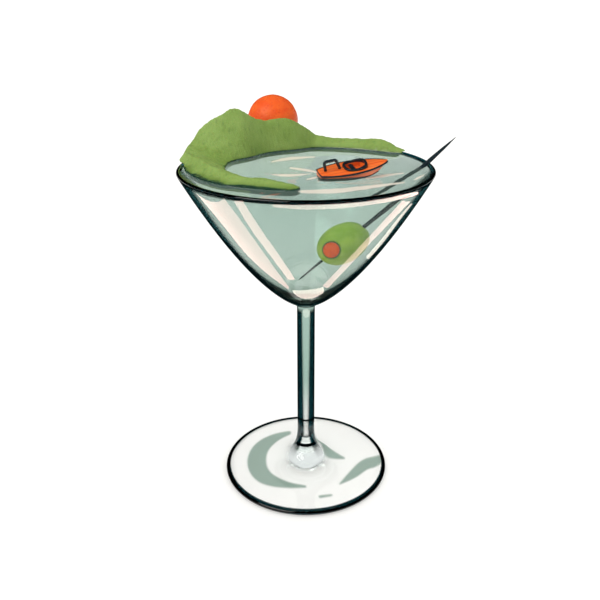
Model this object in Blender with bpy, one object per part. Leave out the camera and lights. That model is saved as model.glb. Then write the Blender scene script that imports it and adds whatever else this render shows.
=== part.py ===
"""Martini cocktail: a stemmed glass, brimful, with a small edible landscape floating on the drink.

The origin is the middle of the foot's flat underside. +Z is up, and the viewer stands on the -Y side.
"""

from math import copysign, cos, degrees, pi, radians, sin, sqrt

import bmesh
import bpy
from mathutils import Matrix, Vector, noise

MM = 0.001
GAP = 0.3 * MM

# Glass
HEIGHT = 162.0 * MM
RIM_RADIUS = 58.0 * MM
WALL = 1.93 * MM
LIP_HEIGHT = HEIGHT - WALL / 2
FOOT_RADIUS = 42.75 * MM
FOOT_EDGE = 2.2 * MM
FOOT_UNDER_INSET = 1.54 * MM
FOOT_TOP_INSET = 2.75 * MM
FOOT_TOP_HEIGHT = 2.75 * MM
STEM_RADIUS = 4.4 * MM
STEM_TOP = 91.0 * MM
STEM_CORNER = 94.4 * MM
FLARE_TOP = 24.0 * MM
FLARE_OUTER_PULL = (12.0 * MM, 4.1 * MM)
FLARE_INNER_PULL = 5.4 * MM
BOWL_POINT = 93.045 * MM
BOWL_POWER = 0.64
FILLET_RADIUS = 8.5 * MM
INSIDE_BOTTOM = 99.3 * MM
INSIDE_POWER = 0.6
FLARE_STEPS = 11
FILLET_STEPS = 4
BOWL_STEPS = 9
INSIDE_STEPS = 11
SIDES = 52

# Drink
LEVEL = 161.0 * MM
DRINK_LIFT = 0.65 * MM

# Hills: degrees round the glass from +X by way of the back, then shore, crest and outer radii, crest height
HILL_STATIONS = (
    (31, 54.6, 56.6, 58.6, 162.9),
    (38.8, 51.2, 55.8, 59.2, 164.6),
    (47, 49.2, 55.8, 59.5, 166.6),
    (61, 46.8, 54.4, 59.5, 165.6),
    (74, 45.2, 53.0, 59.5, 165.4),
    (84, 44.2, 49.3, 59.5, 167.4),
    (89.4, 42.2, 46.0, 59.5, 171.5),
    (94.5, 39.8, 43.1, 59.5, 174.2),
    (99, 38.6, 41.5, 60.8, 176.1),
    (107.8, 37.6, 41.0, 61.5, 177.5),
    (115.6, 37.0, 41.0, 60.8, 176.8),
    (125, 35.8, 40.3, 59.5, 177.7),
    (135, 34.2, 40.2, 59.5, 181.2),
    (142.5, 33.9, 42.5, 59.5, 184.4),
    (150, 34.8, 49.5, 59.5, 179.8),
    (155.5, 36.0, 53.8, 59.5, 176.4),
    (159.5, 36.5, 56.4, 59.6, 171.2),
    (165, 36.6, 57.0, 59.6, 168.4),
    (171.5, 36.4, 56.4, 59.2, 167.0),
    (178, 36.1, 52.6, 55.8, 166.6),
    (186, 36.0, 47.0, 54.2, 166.2),
    (201, 35.5, 43.5, 50.9, 165.6),
    (220, 32.6, 39.8, 47.6, 164.3),
    (239, 29.6, 36.4, 43.4, 163.6),
    (256, 31.2, 36.6, 42.2, 163.3),
    (266.5, 33.8, 37.6, 41.4, 163.0),
)
HILL_STEP = 2.8
HILL_END = 5.5
HILL_END_FULLNESS = 0.12
HILL_DIP = 3.0 * MM
SHORE_LIP = 0.5 * MM
INNER_STEADY_RISE = 0.35
OUTER_FALL_POWER = 1.7
RIM_CLEARANCE = 162.35 * MM
RIM_SKIRT = 0.9 * MM
RIM_BLEND = 2.0 * MM
HILL_RELIEF = 0.9 * MM
RELIEF_SIZE = 7.0 * MM
RELIEF_FINENESS = (0.9, 2.2, 3)
INNER_STEPS = 8
OUTER_STEPS = 7
WALL_CLEARANCE = 0.35 * MM
LIP_CLEARANCE = 0.1 * MM
WALL_HEIGHTS = (154.0 * MM, 157.0 * MM, 160.0 * MM)
BEYOND_HILLS = 70.0 * MM
HOLLOW_TOP = 3.0 * MM
HOLLOW_END = 1.4
NEAR_WALL = 1.0 * MM
BEYOND_WALL = 60.0 * MM

# Sun
SUN_RADIUS = 13.0 * MM
SUN_CENTRE = Vector((-17.0, 52.4, 173.6)) * MM
SUN_BASE = 164.4 * MM
SUN_SIDES = 28
SUN_BANDS = 16

# Boat
BOAT_LENGTH = 31.5 * MM
BOAT_BEAM = 13.0 * MM
BOAT_FREEBOARD = 4.6 * MM
BOAT_DRAUGHT = 1.4 * MM
BOAT_MIDDLE = Vector((20.6, -14.0, 161.0)) * MM
BOAT_HEADING = radians(16)
BOAT_HEEL = radians(11)
BOAT_TRIM = radians(3)
DECK_CROWN = 0.35 * MM
WIDEST = 0.42
STERN_TAPER = 0.45
BOW_CURVE = (2.1, 0.8)
SHEER_AT_STERN = 0.7
SHEER_RISE = 0.48
SHEER_POWER = 1.2
HULL_STATIONS = 12
HULL_SPACING = 0.9
BOW_END = 0.985
BOW_RAKE = 5.0 * MM
FOREFOOT_RISE = 1.6 * MM
CHINE_HEIGHT = 0.36
CHINE_WIDTH = 0.82
HULL_CLEARANCE = 1.4 * GAP
WELL_LENGTH = 8.4 * MM
WELL_WIDTH = 7.4 * MM
WELL_MIDDLE = 0.5 * MM
WELL_DEPTH = 2.2 * MM
WELL_CORNER = 1.6 * MM
COAMING_STATIONS = 20
COAMING_SQUARENESS = 0.7
COAMING_WIDTH = 0.9 * MM
COAMING_HEIGHT = 0.9 * MM
COAMING_FORE_RISE = 0.9 * MM
COAMING_FORE_RAKE = 0.5 * MM
HOOP_RADIUS = 0.7 * MM
HOOP_CORNER = 0.8 * MM
HOOP_BEND = 0.85
HOOP_FORE_FOOT = -6.4 * MM
HOOP_AFT_FOOT = -12.8 * MM
HOOP_FORE_POST = Vector((-1.9, 0, 4.2)) * MM
HOOP_AFT_POST = Vector((-0.8, 0, 4.0)) * MM
HOOP_SIDES = 6

# Pick and olive
PICK_TIP = Vector((-3.05, -27.3, 119.0)) * MM
RIM_REST = Vector((57.0, 5.0, 163.95)) * MM
PICK_TAIL = 16.0 * MM
PICK_RADIUS = 1.15 * MM
PICK_POINT = 0.35 * MM
PICK_TAIL_POINT = 0.175 * MM
PICK_SIDES = 12
OLIVE_LENGTH = 27.6 * MM
OLIVE_WIDTH = 18.4 * MM
OLIVE_BLUNTNESS = 0.86
OLIVE_ALONG_PICK = 0.315
OLIVE_AXIS = Vector((-0.62, -0.76, -0.17))
OLIVE_STEPS = 13
OLIVE_SIDES = 26
PIMENTO_TURN = radians(27)
PIMENTO_RADIUS = 3.4 * MM
PIMENTO_DEPTH = 4.6 * MM
PIMENTO_DOME = 0.8 * MM
PIMENTO_EDGE = 0.1 * MM
PIMENTO_SIDES = 18
TOWARD_VIEWER = Vector((-0.05, -0.95, 0.31))

# Shares of the pick's length, with shares of its radius
PICK_TAPER = ((0.16, 0.62), (0.5, 0.92), (0.72, 1.0), (0.84, 0.9), (0.93, 0.6))


def clear_scene():
    for old in list(bpy.data.objects):
        bpy.data.objects.remove(old, do_unlink=True)


def finish_material(name, colour, roughness, transmission=0.0, ior=1.45):
    material = bpy.data.materials.new(name)
    material.use_nodes = True
    shader = material.node_tree.nodes["Principled BSDF"]
    shader.inputs["Base Color"].default_value = (*colour, 1.0)
    shader.inputs["Roughness"].default_value = roughness
    shader.inputs["Metallic"].default_value = 0.0
    shader.inputs["Transmission Weight"].default_value = transmission
    shader.inputs["IOR"].default_value = ior
    material.diffuse_color = (*colour, 1.0)
    return material


def place(bm, name, material=None):
    """Turn a closed bmesh into a named object, faces out. Without a material it is a hidden cutter."""
    bmesh.ops.recalc_face_normals(bm, faces=bm.faces)
    mesh = bpy.data.meshes.new(name)
    bm.to_mesh(mesh)
    bm.free()
    obj = bpy.data.objects.new(name, mesh)
    bpy.context.collection.objects.link(obj)
    if material:
        mesh.materials.append(material)
        mesh.shade_smooth()
        mesh.set_sharp_from_angle(angle=radians(40))
    else:
        obj.hide_render = True
        obj.display_type = "WIRE"
    return obj


def cut(obj, cutter):
    modifier = obj.modifiers.new(f"cut by {cutter.name}", "BOOLEAN")
    modifier.operation = "DIFFERENCE"
    modifier.object = cutter


def curve_points(start, first, second, end, count):
    """Points of a cubic curve, each a pair of radius and height, with both ends."""
    points = []
    for i in range(count + 1):
        t = i / count
        weights = ((1 - t) ** 3, 3 * t * (1 - t) ** 2, 3 * t * t * (1 - t), t**3)
        corners = (start, first, second, end)
        points.append(tuple(sum(w * c[k] for w, c in zip(weights, corners)) for k in (0, 1)))
    return points


def turned(profile, sides=SIDES, closed=False):
    """Spin pairs of radius and height round the Z axis."""
    bm = bmesh.new()
    verts = [bm.verts.new((radius, 0, height)) for radius, height in profile]
    edges = [bm.edges.new(pair) for pair in zip(verts, verts[1:])]
    if closed:
        edges.append(bm.edges.new((verts[-1], verts[0])))
    bmesh.ops.spin(
        bm, geom=verts + edges, axis=(0, 0, 1), cent=(0, 0, 0), angle=2 * pi, steps=sides, use_merge=True
    )
    bmesh.ops.remove_doubles(bm, verts=bm.verts, dist=0.001 * MM)
    return bm


def loft(rings, endless=False):
    """Skin rings of points that all have the same count. The two ends are capped, or joined if endless."""
    bm = bmesh.new()
    rows = [[bm.verts.new(point) for point in ring] for ring in rings]
    count = len(rows[0])
    following = rows[1:] + rows[:1] if endless else rows[1:]
    for row, after in zip(rows, following):
        for i in range(count):
            j = (i + 1) % count
            bm.faces.new((row[i], row[j], after[j], after[i]))
    if not endless:
        bm.faces.new(reversed(rows[0]))
        bm.faces.new(rows[-1])
    return bm


def smooth_between(stations, at):
    """Read a table of rows at one value of their first column, with no overshoot between rows."""
    at = min(max(at, stations[0][0]), stations[-1][0])
    right = next(i for i in range(1, len(stations)) if at <= stations[i][0])
    left = right - 1
    span = stations[right][0] - stations[left][0]
    t = (at - stations[left][0]) / span

    def slope(i, k):
        if i in (0, len(stations) - 1):
            return 0.0
        before = (stations[i][k] - stations[i - 1][k]) / (stations[i][0] - stations[i - 1][0])
        after = (stations[i + 1][k] - stations[i][k]) / (stations[i + 1][0] - stations[i][0])
        return 0.0 if before * after <= 0 else 2 * before * after / (before + after)

    values = []
    for k in range(1, len(stations[0])):
        low, high = stations[left][k], stations[right][k]
        rise = (2 * t**3 - 3 * t * t + 1) * low + (3 * t * t - 2 * t**3) * high
        bend = (t**3 - 2 * t * t + t) * slope(left, k) + (t**3 - t * t) * slope(right, k)
        values.append(rise + span * bend)
    return values


def outer_radius(height):
    return RIM_RADIUS * ((height - BOWL_POINT) / (LIP_HEIGHT - BOWL_POINT)) ** BOWL_POWER


def inner_radius(height):
    share = max(height - INSIDE_BOTTOM, 0.0) / (LIP_HEIGHT - INSIDE_BOTTOM)
    return (RIM_RADIUS - WALL) * share**INSIDE_POWER


def inside_heights(top, count):
    """Heights up the inside of the bowl, closer together near its bottom."""
    return [INSIDE_BOTTOM + (top - INSIDE_BOTTOM) * (i / count) ** 2 for i in range(count + 1)]


def glass_profile():
    """The glass from the middle of its underside, up the outside, over the rim and down the inside."""
    edge = FOOT_EDGE / 2
    foot = [(0.0, 0.0), (FOOT_RADIUS - FOOT_UNDER_INSET, 0.0)]
    for angle in (-45, 0, 45):
        turn = radians(angle)
        foot.append((FOOT_RADIUS - edge + edge * cos(turn), edge + edge * sin(turn)))
    top_edge = (FOOT_RADIUS - FOOT_TOP_INSET, FOOT_TOP_HEIGHT)
    low_stem, flare_end = (STEM_RADIUS, FLARE_INNER_PULL), (STEM_RADIUS, FLARE_TOP)
    flare = curve_points(top_edge, FLARE_OUTER_PULL, low_stem, flare_end, FLARE_STEPS)
    bowl_start = BOWL_POINT + (LIP_HEIGHT - BOWL_POINT) * (FILLET_RADIUS / RIM_RADIUS) ** (1 / BOWL_POWER)
    stem_end, corner = (STEM_RADIUS, STEM_TOP), (STEM_RADIUS, STEM_CORNER)
    fillet = curve_points(stem_end, corner, corner, (FILLET_RADIUS, bowl_start), FILLET_STEPS)
    outside = []
    for i in range(1, BOWL_STEPS + 1):
        height = bowl_start + (LIP_HEIGHT - bowl_start) * (i / BOWL_STEPS) ** 1.5
        outside.append((outer_radius(height), height))
    lip = WALL / 2
    rim_middle = RIM_RADIUS - lip
    turns = [radians(angle) for angle in (30, 60, 90, 120, 150)]
    rim = [(rim_middle + lip * cos(turn), LIP_HEIGHT + lip * sin(turn)) for turn in turns]
    inside = [(inner_radius(height), height) for height in reversed(inside_heights(LIP_HEIGHT, INSIDE_STEPS))]
    inside[-1] = (0.0, INSIDE_BOTTOM)
    return foot + flare + fillet + outside + rim + inside


def make_glass():
    clear = finish_material("glass", (0.86, 0.93, 0.9), 0.02, transmission=1.0, ior=1.5)
    place(turned(glass_profile()), "glass", clear)


def hill_azimuths():
    """Evenly spaced, and closer together where the two ends round off."""
    first, last = HILL_STATIONS[0][0], HILL_STATIONS[-1][0]
    rounding = [1 - cos(radians(a)) for a in (0, 25, 45, 65, 80)]
    start = [first + HILL_END * share for share in rounding]
    end = [last - HILL_END * share for share in reversed(rounding)]
    count = round((last - first - 2 * HILL_END) / HILL_STEP)
    middle = [first + HILL_END + (last - first - 2 * HILL_END) * i / count for i in range(count + 1)]
    return start + middle + end


def hill_station(azimuth):
    """Shore, crest and outer radii and crest height at one azimuth, narrowed to a round end at both tips."""
    shore, crest, outer, height = (value * MM for value in smooth_between(HILL_STATIONS, azimuth))
    left = min(azimuth - HILL_STATIONS[0][0], HILL_STATIONS[-1][0] - azimuth, HILL_END) / HILL_END
    fullness = max(sqrt(1 - (1 - left) ** 2), HILL_END_FULLNESS)
    middle = (shore + outer) / 2
    shore, crest, outer = (middle + (radius - middle) * fullness for radius in (shore, crest, outer))
    height = LEVEL + SHORE_LIP + (height - LEVEL - SHORE_LIP) * fullness
    return shore, crest, outer, height


def around(radius, azimuth, height):
    return Vector((radius * cos(radians(azimuth)), radius * sin(radians(azimuth)), height))


def hill_relief(point, weight):
    """Soft gullies and spurs, in metres of height."""
    return HILL_RELIEF * weight * noise.fractal(point / RELIEF_SIZE, *RELIEF_FINENESS)


def hill_section(azimuth):
    """One cross-section: up from below the shore, over the crest, down the outer side and under."""
    shore, crest, outer, height = hill_station(azimuth)
    foot = LEVEL + SHORE_LIP
    over_rim = max(0.0, min(1.0, (outer - inner_radius(LEVEL)) / RIM_BLEND))
    outer_foot = foot + over_rim * (RIM_CLEARANCE + RIM_SKIRT - foot)
    base = LEVEL - HILL_DIP
    points = [around(shore, azimuth, base)]
    for i in range(INNER_STEPS + 1):
        t = i / INNER_STEPS
        rise = INNER_STEADY_RISE * t + (1 - INNER_STEADY_RISE) * (1 - (1 - t) ** 2)
        point = around(shore + (crest - shore) * t, azimuth, foot + (height - foot) * rise)
        point.z += hill_relief(point, sin(pi * t))
        points.append(point)
    for i in range(1, OUTER_STEPS + 1):
        t = i / OUTER_STEPS
        fall = (1 - t) ** OUTER_FALL_POWER
        point = around(crest + (outer - crest) * t, azimuth, outer_foot + (height - outer_foot) * fall)
        point.z += hill_relief(point, sin(pi * t))
        points.append(point)
    points.append(around(outer, azimuth, base))
    return points


def make_hills(sun_cutter):
    paste = finish_material("hill paste", (0.25, 0.37, 0.10), 0.6)
    hills = place(loft([hill_section(azimuth) for azimuth in hill_azimuths()]), "hills", paste)
    wall = [(inner_radius(height) - WALL_CLEARANCE, height) for height in WALL_HEIGHTS]
    lip = inner_radius(LEVEL) - LIP_CLEARANCE
    profile = wall + [(lip, RIM_CLEARANCE), (BEYOND_HILLS, RIM_CLEARANCE), (BEYOND_HILLS, WALL_HEIGHTS[0])]
    cut(hills, place(turned(profile, closed=True), "glass clearance"))
    cut(hills, sun_cutter)
    return hills


def hills_cutter():
    """The water that the hills push aside: their outline at the level, a gap larger all round."""
    base, top = LEVEL - HILL_DIP - GAP, LEVEL + HOLLOW_TOP
    azimuths = hill_azimuths()
    rings = []
    for azimuth in azimuths:
        shore, _, outer, _ = hill_station(azimuth)
        past_end = (azimuth > azimuths[-1] - HILL_END) - (azimuth < azimuths[0] + HILL_END)
        turn = azimuth + degrees(HOLLOW_END * past_end * GAP / outer)
        inner, outer = shore - GAP, outer + GAP
        if outer > inner_radius(LEVEL) - NEAR_WALL:
            outer = BEYOND_WALL
        corners = ((inner, base), (inner, top), (outer, top), (outer, base))
        rings.append([around(radius, turn, height) for radius, height in corners])
    return place(loft(rings), "hills cutter")


def sun_ball(grow=0.0):
    """A ball with a small flat cut under it."""
    bm = bmesh.new()
    bmesh.ops.create_uvsphere(bm, u_segments=SUN_SIDES, v_segments=SUN_BANDS, radius=SUN_RADIUS + grow)
    bmesh.ops.translate(bm, verts=bm.verts, vec=SUN_CENTRE)
    whole = bm.verts[:] + bm.edges[:] + bm.faces[:]
    base = Vector((0, 0, SUN_BASE - grow))
    below = bmesh.ops.bisect_plane(bm, geom=whole, plane_co=base, plane_no=(0, 0, -1), clear_outer=True)
    cut_edges = [item for item in below["geom_cut"] if isinstance(item, bmesh.types.BMEdge)]
    bmesh.ops.holes_fill(bm, edges=cut_edges, sides=0)
    return bm


def make_sun():
    orange = finish_material("sun paste", (0.86, 0.14, 0.03), 0.4)
    place(sun_ball(), "sun", orange)
    return place(sun_ball(GAP), "sun cutter")


def boat_frame_of_reference():
    """Boat coordinates to the glass's: +X to the bow, +Z up, the waterline at zero."""
    heading = Matrix.Rotation(BOAT_HEADING, 4, "Z")
    trim = Matrix.Rotation(-BOAT_TRIM, 4, "Y")
    heel = Matrix.Rotation(BOAT_HEEL, 4, "X")
    return Matrix.Translation(BOAT_MIDDLE) @ heading @ trim @ heel


def half_beam(share):
    """Half the boat's width at a share of its length from the stern."""
    if share < WIDEST:
        return BOAT_BEAM / 2 * (1 - STERN_TAPER * ((WIDEST - share) / WIDEST) ** 2)
    narrowing, bluntness = BOW_CURVE
    return BOAT_BEAM / 2 * (1 - ((share - WIDEST) / (1 - WIDEST)) ** narrowing) ** bluntness


def deck_edge(share):
    """The deck's edge rises towards the bow."""
    return BOAT_FREEBOARD * (SHEER_AT_STERN + SHEER_RISE * share**SHEER_POWER)


def deck_height(x, y):
    share = x / BOAT_LENGTH + 0.5
    return deck_edge(share) + DECK_CROWN * (1 - abs(y) / half_beam(share))


def hull(grow=0.0):
    """Keel, chines and gunwales lofted from stern to bow."""
    rings = []
    for i in range(HULL_STATIONS + 1):
        share = BOW_END * (i / HULL_STATIONS) ** HULL_SPACING
        width = half_beam(share) + grow
        sheer = deck_edge(share) + grow
        rake = BOW_RAKE * share**3
        keel = -BOAT_DRAUGHT - grow + (BOAT_DRAUGHT + FOREFOOT_RISE) * share**5
        chine = keel + (sheer - keel) * CHINE_HEIGHT
        x = BOAT_LENGTH * (share - 0.5) + grow * (2 * share - 1)
        low = x - rake
        middle = x - rake / 2
        rings.append(
            [
                (low, 0, keel),
                (middle, CHINE_WIDTH * width, chine),
                (x, width, sheer),
                (x, 0, sheer + DECK_CROWN),
                (x, -width, sheer),
                (middle, -CHINE_WIDTH * width, chine),
            ]
        )
    bm = loft([[Vector(point) for point in ring] for ring in rings])
    bmesh.ops.transform(bm, matrix=boat_frame_of_reference(), verts=bm.verts)
    return bm


def rounded_block(length, width, height, middle, bevel):
    bm = bmesh.new()
    bmesh.ops.create_cube(bm, size=1.0)
    bmesh.ops.scale(bm, vec=(length, width, height), verts=bm.verts)
    upright = [e for e in bm.edges if abs(e.verts[0].co.z - e.verts[1].co.z) > height / 2]
    bmesh.ops.bevel(bm, geom=upright, offset=bevel, segments=3, profile=0.5, affect="EDGES", material=-1)
    bmesh.ops.translate(bm, verts=bm.verts, vec=middle)
    bmesh.ops.transform(bm, matrix=boat_frame_of_reference(), verts=bm.verts)
    return bm


def make_boat():
    orange = finish_material("boat paste", (0.87, 0.135, 0.025), 0.45)
    dark = finish_material("dark trim", (0.004, 0.02, 0.03), 0.4)
    boat = place(hull(), "boat_hull", orange)
    well_middle = Vector((WELL_MIDDLE, 0, deck_height(WELL_MIDDLE, 0)))
    well = rounded_block(WELL_LENGTH, WELL_WIDTH, 2 * WELL_DEPTH, well_middle, WELL_CORNER)
    cut(boat, place(well, "well cutter"))
    make_coaming(dark)
    make_hoop(dark)
    return place(hull(HULL_CLEARANCE), "boat cutter")


def tube_along(points, radius, sides):
    """A round bar through the points, with rings that split each corner's angle."""
    rings = []
    for i, point in enumerate(points):
        before = points[max(i - 1, 0)]
        after = points[min(i + 1, len(points) - 1)]
        along = (after - before).normalized()
        side = along.cross(Vector((0, 0, 1)) if abs(along.z) < 0.9 else Vector((1, 0, 0))).normalized()
        up = side.cross(along)
        ring = []
        for k in range(sides):
            turn = 2 * pi * k / sides
            ring.append(point + radius * (cos(turn) * side + sin(turn) * up))
        rings.append(ring)
    return loft(rings)


def make_coaming(material):
    """A raised rim round the well, highest at its fore end."""
    reach = Vector((WELL_LENGTH / 2 + GAP, WELL_WIDTH / 2 + GAP, 0))
    rings = []
    for i in range(COAMING_STATIONS):
        turn = 2 * pi * i / COAMING_STATIONS
        outward = Vector([copysign(abs(way) ** COAMING_SQUARENESS, way) for way in (cos(turn), sin(turn), 0)])
        inner = Vector((WELL_MIDDLE, 0, 0)) + outward * reach
        outer = inner + outward * COAMING_WIDTH
        for point in (inner, outer):
            point.z = deck_height(point.x, point.y) + GAP
        fore = max(cos(turn), 0)
        up = Vector((-COAMING_FORE_RAKE * fore, 0, COAMING_HEIGHT + COAMING_FORE_RISE * fore))
        rings.append([inner, outer, outer + up, inner + up])
    bm = loft(rings, endless=True)
    bmesh.ops.transform(bm, matrix=boat_frame_of_reference(), verts=bm.verts)
    place(bm, "boat_coaming", material)


def make_hoop(material):
    """A square hoop on the middle of the stern deck, in line with the keel, its fore post raked aft."""
    lift = GAP + 0.4 * HOOP_RADIUS
    fore, aft = (Vector((x, 0, deck_height(x, 0) + lift)) for x in (HOOP_FORE_FOOT, HOOP_AFT_FOOT))
    fore_top, aft_top = fore + HOOP_FORE_POST, aft + HOOP_AFT_POST
    inward = Vector((HOOP_CORNER, 0, 0))
    points = [fore, fore.lerp(fore_top, HOOP_BEND), fore_top - inward]
    points += [aft_top + inward, aft.lerp(aft_top, HOOP_BEND), aft]
    bm = tube_along(points, HOOP_RADIUS, HOOP_SIDES)
    bmesh.ops.transform(bm, matrix=boat_frame_of_reference(), verts=bm.verts)
    place(bm, "boat_hoop", material)


def along_axis(start, direction):
    """A turned shape's own +Z laid along a direction from a start point."""
    return Matrix.Translation(start) @ direction.to_track_quat("Z", "Y").to_matrix().to_4x4()


def pick_bar(grow=0.0):
    """Thin at both points and thickest near the rim."""
    direction = (RIM_REST - PICK_TIP).normalized()
    length = (RIM_REST - PICK_TIP).length + PICK_TAIL
    taper = [(share, thickness * PICK_RADIUS) for share, thickness in PICK_TAPER]
    shape = [(0.0, PICK_POINT), *taper, (1.0, PICK_TAIL_POINT)]
    profile = [(0.0, -grow)]
    profile += [(radius + grow, share * length + grow * (2 * share - 1)) for share, radius in shape]
    profile.append((0.0, length + grow))
    bm = turned(profile, sides=PICK_SIDES)
    bmesh.ops.transform(bm, matrix=along_axis(PICK_TIP, direction), verts=bm.verts)
    return bm


def olive_centre():
    return PICK_TIP.lerp(RIM_REST, OLIVE_ALONG_PICK)


def olive_body(grow=0.0):
    """An egg with blunt ends, turned about its long axis."""
    half_length, half_width = OLIVE_LENGTH / 2 + grow, OLIVE_WIDTH / 2 + grow
    profile = []
    for i in range(OLIVE_STEPS + 1):
        turn = pi * i / OLIVE_STEPS
        profile.append((half_width * max(sin(turn), 0.0) ** OLIVE_BLUNTNESS, -half_length * cos(turn)))
    profile[0] = (0.0, -half_length)
    profile[-1] = (0.0, half_length)
    bm = turned(profile, sides=OLIVE_SIDES)
    bmesh.ops.transform(bm, matrix=along_axis(olive_centre(), OLIVE_AXIS.normalized()), verts=bm.verts)
    return bm


def pimento_place():
    """Where the stuffing shows on the olive's skin, and which way it faces."""
    axis = OLIVE_AXIS.normalized()
    side = (TOWARD_VIEWER - TOWARD_VIEWER.dot(axis) * axis).normalized()
    half_length, half_width = OLIVE_LENGTH / 2, OLIVE_WIDTH / 2
    spot = olive_centre() + half_length * cos(PIMENTO_TURN) * axis + half_width * sin(PIMENTO_TURN) * side
    facing = (cos(PIMENTO_TURN) / half_length * axis + sin(PIMENTO_TURN) / half_width * side).normalized()
    return spot, facing


def pimento_plug(grow=0.0):
    """A short plug with a domed face."""
    radius = PIMENTO_RADIUS + grow
    bottom = -PIMENTO_DEPTH - grow
    profile = [(0.0, bottom), (0.8 * radius, bottom), (radius, -0.7 * PIMENTO_DEPTH)]
    profile += [(radius, PIMENTO_EDGE + grow), (0.72 * radius, 0.7 * PIMENTO_DOME + grow)]
    profile.append((0.0, PIMENTO_DOME + grow))
    spot, facing = pimento_place()
    bm = turned(profile, sides=PIMENTO_SIDES)
    bmesh.ops.transform(bm, matrix=along_axis(spot, facing), verts=bm.verts)
    return bm


def make_pick_and_olive():
    """Returns what the drink makes room for."""
    wood = finish_material("pick wood", (0.006, 0.02, 0.026), 0.5)
    flesh = finish_material("olive skin", (0.25, 0.37, 0.1), 0.35)
    red = finish_material("pimento", (0.87, 0.13, 0.02), 0.4)
    place(pick_bar(), "pick", wood)
    pick_cutter = place(pick_bar(GAP), "pick cutter")
    olive = place(olive_body(), "olive", flesh)
    cut(olive, pick_cutter)
    cut(olive, place(pimento_plug(GAP), "pimento cutter"))
    place(pimento_plug(), "pimento", red)
    olive_cutter = place(olive_body(GAP), "olive cutter")
    return [pick_cutter, olive_cutter, place(pimento_plug(2 * GAP), "stuffing cutter")]


def make_drink(cutters):
    """The bowl's inside shape, lifted clear of it, up to the level."""
    cloudy = finish_material("drink", (0.36, 0.50, 0.43), 0.05, transmission=0.6, ior=1.33)
    top = LEVEL - DRINK_LIFT
    profile = [(inner_radius(height), height + DRINK_LIFT) for height in inside_heights(top, INSIDE_STEPS)]
    profile[0] = (0.0, INSIDE_BOTTOM + DRINK_LIFT)
    profile.append((0.0, LEVEL))
    drink = place(turned(profile), "drink", cloudy)
    for cutter in cutters:
        cut(drink, cutter)


clear_scene()
make_glass()
make_hills(make_sun())
make_drink([hills_cutter(), make_boat(), *make_pick_and_olive()])
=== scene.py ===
"""The looks of the martini cocktail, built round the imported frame.

Metres, +Z up. The origin is the middle of the foot's underside, and the viewer stands on the -Y side.
"""

from math import atan2, copysign, cos, exp, pi, radians, sin

import bmesh
import bpy
from mathutils import Matrix, Vector, noise
from mathutils.bvhtree import BVHTree


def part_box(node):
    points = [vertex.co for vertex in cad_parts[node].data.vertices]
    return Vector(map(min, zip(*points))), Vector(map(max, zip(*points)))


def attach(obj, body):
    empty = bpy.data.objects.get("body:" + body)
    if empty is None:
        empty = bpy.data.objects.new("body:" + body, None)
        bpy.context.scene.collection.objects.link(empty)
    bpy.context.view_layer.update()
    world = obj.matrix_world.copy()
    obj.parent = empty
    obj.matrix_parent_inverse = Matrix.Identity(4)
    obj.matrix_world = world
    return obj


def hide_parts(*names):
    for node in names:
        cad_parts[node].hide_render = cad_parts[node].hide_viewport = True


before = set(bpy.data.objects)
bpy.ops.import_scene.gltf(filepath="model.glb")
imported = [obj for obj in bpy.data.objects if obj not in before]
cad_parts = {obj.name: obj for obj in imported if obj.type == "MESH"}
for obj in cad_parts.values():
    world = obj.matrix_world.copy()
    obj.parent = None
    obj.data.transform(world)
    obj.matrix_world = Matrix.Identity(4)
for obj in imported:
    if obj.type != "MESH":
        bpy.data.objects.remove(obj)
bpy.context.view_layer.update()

MM = 0.001

# Glass
HEIGHT = 162.0 * MM
RIM_RADIUS = 58.0 * MM
WALL = 1.93 * MM
LIP_HEIGHT = HEIGHT - WALL / 2
FOOT_RADIUS = 42.75 * MM
FOOT_EDGE = 2.2 * MM
FOOT_TOP_INSET = 2.75 * MM
FOOT_TOP_HEIGHT = 2.75 * MM
STEM_RADIUS = 4.4 * MM
STEM_TOP = 91.0 * MM
STEM_CORNER = 94.4 * MM
FLARE_TOP = 24.0 * MM
FLARE_OUTER_PULL = (12.0 * MM, 4.1 * MM)
FLARE_INNER_PULL = 5.4 * MM
BOWL_POINT = 93.045 * MM
BOWL_POWER = 0.64
FILLET_RADIUS = 8.5 * MM
INSIDE_BOTTOM = 99.3 * MM
INSIDE_POWER = 0.6
GLASS_SIDES = 192

# Drink
LEVEL = 161.0 * MM
WALL_BITE = 0.25 * MM
MENISCUS_RISE = 0.45 * MM
MENISCUS_REACH = 1.3 * MM
SURFACE_RINGS = 92
DRINK_SIDES = 300

# Camera, in pixels of the 600 by 600 picture where it isn't in metres
CAMERA_PLACE = Vector((0, -314.7, 233.34)) * MM
CAMERA_PITCH = radians(23.55)
FOCAL = 703.3
PICTURE_MIDDLE = Vector((305.93, 300.0))
PICTURE_SIZE = 600

# Streaks of light on the drink, as points of the picture with half a width, in pixels
STREAKS = (
    ((271.5, 161.9, 0.7), (288.3, 158.4, 2.0), (314.8, 156.9, 0.6)),
    ((290.1, 168.0, 0.8), (303.0, 169.6, 1.6), (317.7, 172.4, 1.0)),
    ((272.2, 174.8, 0.5), (288.3, 175.8, 1.7), (310.3, 173.9, 0.6)),
    ((306.7, 179.6, 0.7), (313.0, 178.0, 1.3), (320.6, 176.3, 0.6)),
    ((366.0, 178.2, 0.8), (383.7, 175.8, 1.7), (403.5, 172.9, 0.6)),
    ((300.8, 191.6, 1.6), (332.4, 191.6, 2.6), (361.7, 188.2, 2.0), (404.2, 182.4, 0.8)),
    ((414.5, 179.6, 0.8), (419.0, 177.6, 1.3), (424.0, 174.8, 0.5)),
)

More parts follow.
